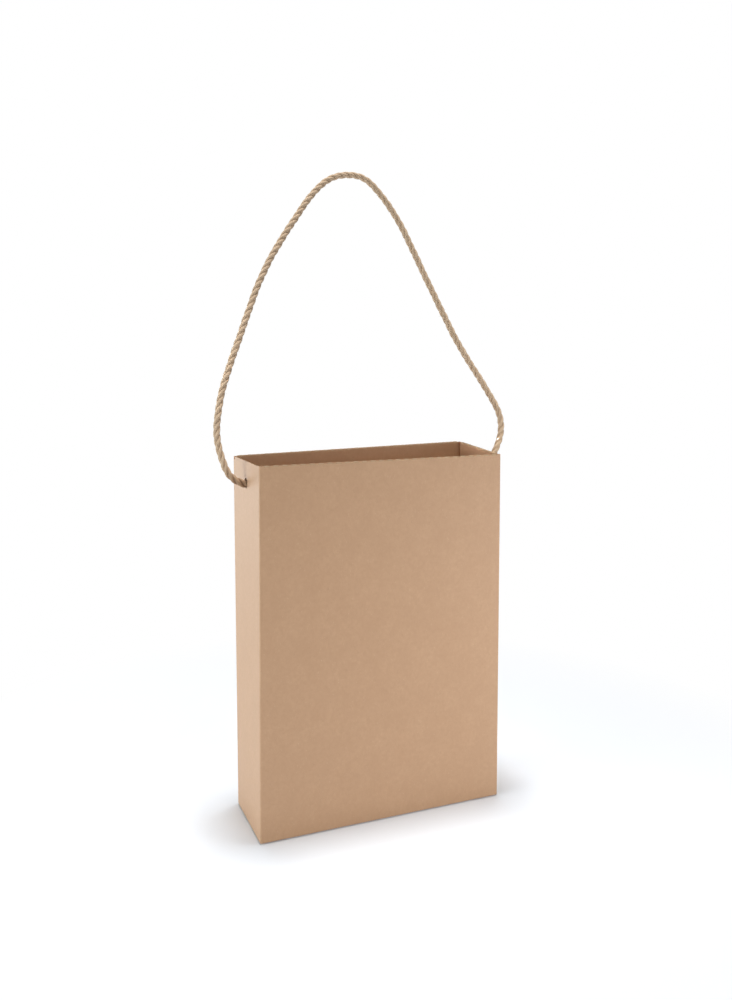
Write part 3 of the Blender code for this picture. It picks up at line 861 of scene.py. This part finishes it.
def fibre_tree():
    """Geometry nodes that stand loose fibres on a surface, each bent over and turned at random."""
    tree = bpy.data.node_groups.new("loose_jute_fibres", "GeometryNodeTree")
    face = tree.interface
    face.new_socket("Surface", in_out="INPUT", socket_type="NodeSocketGeometry")
    for name in ("Spacing", "Length", "Lift", "Thickness"):
        face.new_socket(name, in_out="INPUT", socket_type="NodeSocketFloat")
    face.new_socket("Seed", in_out="INPUT", socket_type="NodeSocketInt")
    face.new_socket("Fibre", in_out="INPUT", socket_type="NodeSocketMaterial")
    face.new_socket("Geometry", in_out="OUTPUT", socket_type="NodeSocketGeometry")
    given = add_node(tree, "NodeGroupInput").outputs
    density = calculate(tree, "POWER", given["Spacing"], -2.0)
    roots = add_node(tree, "GeometryNodeDistributePointsOnFaces",
                     {"Mesh": given["Surface"], "Density": density, "Seed": given["Seed"]}).outputs
    knee = calculate(tree, "MULTIPLY", given["Length"], 0.35)
    tip = calculate(tree, "MULTIPLY", given["Lift"], 0.7)
    bend = add_node(tree, "ShaderNodeCombineXYZ", {0: knee, 2: given["Lift"]})
    end = add_node(tree, "ShaderNodeCombineXYZ", {0: given["Length"], 2: tip})
    line = add_node(tree, "GeometryNodeCurveQuadraticBezier",
                    {"Resolution": 4, "Start": (0, 0, -0.0003),
                     "Middle": bend.outputs[0], "End": end.outputs[0]})
    half = calculate(tree, "MULTIPLY", given["Thickness"], 0.5)
    section = add_node(tree, "GeometryNodeCurvePrimitiveCircle", {"Resolution": 3, "Radius": half})
    hair = add_node(tree, "GeometryNodeCurveToMesh",
                    {"Curve": line.outputs[0], "Profile Curve": section.outputs[0], "Fill Caps": True})
    size = add_node(tree, "FunctionNodeRandomValue", {2: 0.45, 3: 1.0, "Seed": given["Seed"]}).outputs[1]
    turn = add_node(tree, "FunctionNodeRandomValue",
                    {2: 0.0, 3: 2 * math.pi, "Seed": given["Seed"]}).outputs[1]
    about = add_node(tree, "FunctionNodeEulerToRotation",
                     {0: add_node(tree, "ShaderNodeCombineXYZ", {2: turn}).outputs[0]}).outputs[0]
    turned = add_node(tree, "FunctionNodeRotateRotation", {0: roots["Rotation"], 1: about},
                      rotation_space="LOCAL")
    hairs = add_node(tree, "GeometryNodeInstanceOnPoints",
                     {"Points": roots["Points"], "Instance": hair.outputs[0],
                      "Rotation": turned.outputs[0], "Scale": size})
    real = add_node(tree, "GeometryNodeRealizeInstances", {0: hairs.outputs[0]})
    painted = add_node(tree, "GeometryNodeSetMaterial",
                       {"Geometry": real.outputs[0], "Material": given["Fibre"]})
    add_node(tree, "NodeGroupOutput", {0: painted.outputs[0]})
    return tree


FIBRES = fibre_tree()


def with_fibres(mesh, spacing, seed):
    """A rope's mesh and the loose fibres on it, drawn coarser than real ones so that they show."""
    carrier = new_object("carrier", mesh.copy())
    modifier = carrier.modifiers.new("fibres", "NODES")
    modifier.node_group = FIBRES
    set_tree_inputs(modifier, {"Spacing": spacing, "Length": FIBRE_LENGTH, "Lift": FIBRE_LIFT,
                               "Thickness": FIBRE_THICKNESS, "Seed": seed, "Fibre": LOOSE_FIBRE})
    fibres = baked(carrier).data
    bpy.data.objects.remove(carrier)
    fibres.materials.clear()
    return join_meshes([(mesh, 0), (fibres, 1)], 180)


def on_loop(across, outwards):
    """A point of the rope's own plane, placed in space at its lean."""
    return Vector((across, outwards * math.sin(ROPE_LEAN), HOLE_HEIGHT + outwards * math.cos(ROPE_LEAN)))


def tight_overhand():
    """The centreline of an overhand knot, drawn tight in small steps, with its ends along Y."""
    step = ROPE_DIAMETER / 4
    t = np.linspace(0.0, 2 * math.pi, 400)
    loose = np.stack(((2 + np.cos(3 * t)) * np.cos(2 * t), (2 + np.cos(3 * t)) * np.sin(2 * t),
                      1.3 * np.sin(3 * t)), axis=1) * 0.47 * ROPE_DIAMETER
    loose -= loose[0]
    lead = np.linspace(1.0, 0.05, 20)[:, None] * np.array((0.0, -0.012, -0.003))
    line = evenly(np.concatenate((lead, loose, -lead[::-1])), step)
    count = len(line)
    i, j = np.triu_indices(count, 6)
    apart = 0.9 * ROPE_DIAMETER
    for _ in range(800):
        line[0] = (0, line[0, 1] - 0.00004, 0)
        line[-1] = (0, line[-1, 1] + 0.00004, 0)
        line[1:-1] += 0.03 * (line[:-2] + line[2:] - 2 * line[1:-1])
        gap = line[j] - line[i]
        far = np.linalg.norm(gap, axis=1)
        near = far < apart
        push = gap[near] * (0.3 * (apart / np.maximum(far[near], 1e-6) - 1))[:, None]
        np.add.at(line, i[near], -push)
        np.add.at(line, j[near], push)
        for start in (0, 1) * 3:
            a = line[start:count - 1:2]
            b = line[start + 1::2][:len(a)]
            stretch = b - a
            shift = 0.5 * (1 - step / np.linalg.norm(stretch, axis=1))[:, None] * stretch
            line[start:count - 1:2] += shift
            line[start + 1::2][:len(a)] -= shift
    return line


def knot_line(sign, roll):
    """A knot's centreline from the hem's face inwards, with its tail, on one side of the bag."""
    line = tight_overhand()
    off_axis = np.hypot(line[:, 0], line[:, 2])
    line[:, 1] -= line[off_axis > 0.3 * ROPE_DIAMETER, 1].min() - ROPE_DIAMETER / 2
    line = line[line[:, 1] > 0] if line[0, 1] < 0 else line
    line = np.concatenate(([(0.0, -0.0004, 0.0)], line))
    reach = np.linspace(0.0, 1.0, 14)[1:, None]
    turned = math.cos(roll), math.sin(roll)
    down = np.array((-turned[1], 0.0, -turned[0]))
    line = np.concatenate((line, line[-1] + reach * (0.0, TAIL_LENGTH, 0.0) + reach ** 2 * down * TAIL_DROOP))
    inwards, across, up = line[:, 1], line[:, 0], line[:, 2]
    return np.stack((sign * (HEM_FACE_X - inwards), across * turned[0] - up * turned[1],
                     HOLE_HEIGHT + across * turned[1] + up * turned[0]), axis=1)


def make_rope():
    """The rope, its knots and tails, and its loose fibres."""
    ends = [on_loop(-HEM_FACE_X, 0.0), on_loop(HEM_FACE_X, 0.0)]
    line = spline([ends[0]] + [on_loop(*p) for p in ROPE_ROUTE] + [ends[1]], ROPE_STEP)
    walked = np.linspace(0.0, 1.0, len(line))
    near_end = np.clip(1 - np.minimum(walked, 1 - walked) * 26, 0.0, 1.0)
    strands = laid_rope(line, 1 + HOLE_SPLAY * near_end ** 2)
    rope = new_object("rope_strands", with_fibres(strands, FIBRE_SPACING, 1), JUTE, LOOSE_FIBRE)
    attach(rope, "handle")
    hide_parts("rope_handle")
    for name, sign, roll, seed in (("left_knot", -1, 0.5, 2), ("right_knot", 1, 2.2, 8)):
        tied = evenly(knot_line(sign, roll), ROPE_STEP)
        seat = corner_shift((sign * HEM_FACE_X, 0.0, HOLE_HEIGHT))
        tied[:, 0] += seat[0] - sign * KNOT_GAP
        splay = 1 + TAIL_SPLAY * np.clip(1 - np.arange(len(tied))[::-1] * ROPE_STEP / 0.007, 0.0, 1.0) ** 2
        piece = new_object(name + "_rope", with_fibres(laid_rope(tied, splay), KNOT_FIBRE_SPACING, seed),
                           JUTE, LOOSE_FIBRE)
        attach(piece, "handle")
        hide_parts(name)


def seen_directly(tree):
    """1 for camera, glossy and transmission rays, 0 for the rays that carry light."""
    path = add_node(tree, "ShaderNodeLightPath").outputs
    seen = calculate(tree, "MAXIMUM", path["Is Camera Ray"], path["Is Glossy Ray"])
    return calculate(tree, "MAXIMUM", seen, path["Is Transmission Ray"])


def make_floor():
    """A pale floor that holds the bag's soft shadow, fades to white and is clear from below."""
    material, tree, shader = new_material("studio_floor")
    shader.inputs["Roughness"].default_value = 1.0
    shader.inputs["Specular IOR Level"].default_value = 0.0
    place = add_node(tree, "ShaderNodeTexCoord").outputs["Object"]
    away = add_node(tree, "ShaderNodeVectorMath", {0: place}, operation="LENGTH").outputs["Value"]
    far = window(tree, away, *FLOOR_FADE)
    seen = seen_directly(tree)
    fade = calculate(tree, "MULTIPLY", far, seen)
    paint = mix_colour(tree, fade, hex_colour(FLOOR_COLOUR), (0, 0, 0, 1))
    tree.links.new(paint, shader.inputs["Base Color"])
    near_glow = calculate(tree, "MULTIPLY", seen, FLOOR_GLOW)
    level = add_node(tree, "ShaderNodeMapRange", {0: fade, 3: near_glow, 4: 1.0}).outputs[0]
    glow = add_node(tree, "ShaderNodeEmission", {"Strength": level})
    lit = add_node(tree, "ShaderNodeAddShader", {0: shader.outputs[0], 1: glow.outputs[0]})
    below = add_node(tree, "ShaderNodeNewGeometry").outputs["Backfacing"]
    clear = add_node(tree, "ShaderNodeBsdfTransparent")
    both = add_node(tree, "ShaderNodeMixShader", {0: below, 1: lit.outputs[0], 2: clear.outputs[0]})
    tree.links.new(both.outputs[0], tree.nodes["Material Output"].inputs["Surface"])
    shape = bmesh.new()
    bmesh.ops.create_circle(shape, cap_ends=True, segments=96, radius=FLOOR_RADIUS)
    mesh = bpy.data.meshes.new("floor")
    shape.to_mesh(mesh)
    shape.free()
    mesh.transform(Matrix.Translation((0, 0, -FLOOR_DROP)))
    new_object("floor", mesh, material)


def make_world(strength):
    """Even light from all round, seen as white."""
    world = bpy.data.worlds.new("studio")
    bpy.context.scene.world = world
    world.use_nodes = True
    tree = world.node_tree
    tree.nodes.clear()
    level = add_node(tree, "ShaderNodeMapRange", {0: seen_directly(tree), 3: strength, 4: 1.0})
    back = add_node(tree, "ShaderNodeBackground", {"Color": (1, 1, 1, 1), "Strength": level.outputs[0]})
    add_node(tree, "ShaderNodeOutputWorld", {"Surface": back.outputs[0]})


def make_light(name, place, aim, size, power, spread=180, colour="#FFFFFF"):
    """A soft box; a spread under 180 degrees is the grid on its front."""
    data = bpy.data.lights.new(name, "AREA")
    data.shape = "RECTANGLE"
    data.size, data.size_y = size
    data.energy = power
    data.color = hex_colour(colour)[:3]
    data.spread = math.radians(spread)
    lamp = bpy.data.objects.new(name, data)
    lamp.location = place
    lamp.rotation_euler = (Vector(aim) - Vector(place)).to_track_quat("-Z", "Y").to_euler()
    lamp.visible_camera = False
    bpy.context.scene.collection.objects.link(lamp)


def make_camera():
    """The photograph's camera."""
    data = bpy.data.cameras.new("photo_camera")
    data.sensor_width = CAMERA_SENSOR
    data.lens = CAMERA_FOCAL_SHARE * CAMERA_SENSOR
    data.shift_x, data.shift_y = CAMERA_SHIFT
    camera = bpy.data.objects.new("photo_camera", data)
    camera.location = CAMERA_PLACE
    camera.rotation_euler = (math.pi / 2 - CAMERA_ELEVATION, 0.0, CAMERA_AZIMUTH)
    bpy.context.scene.collection.objects.link(camera)
    bpy.context.scene.camera = camera


make_camera()
make_rope()
make_walls()
make_glue_flap()
make_base()
make_floor()
make_world(0.14)
make_light("top_softbox", (0.025, 0.09, 3.2), (0, 0, 0), (0.66, 0.66), 94)
make_light("inside_fill", (0.015, 0.025, 0.31), (0.015, -0.04, 0.30), (0.2, 0.02), 0.056)
make_light("left_strip", (-1.1, -0.02, 0.22), (-0.128, 0, 0.15), (1.5, 0.6), 3.35, 90, COOL_WHITE)
make_light("back_left_strip", (-1.0, 1.6, 0.12), (-0.13, 0, 0.12), (0.9, 0.24), 5, 180, COOL_WHITE)
make_light("inside_spot", (-1.1, -0.1, 0.9), (0.125, 0, 0.345), (0.1, 0.1), 0.008, 5)
make_light("right_softbox", (0.58, -0.4, 0.18), (0.12, -0.043, 0.14), (0.25, 0.5), 0.375, 60)
make_light("front_softbox", (0.1, -1.9, 1.0), (0, 0, 0.2), (0.8, 0.5), 5.4)
bpy.context.scene.view_settings.view_transform = "Standard"
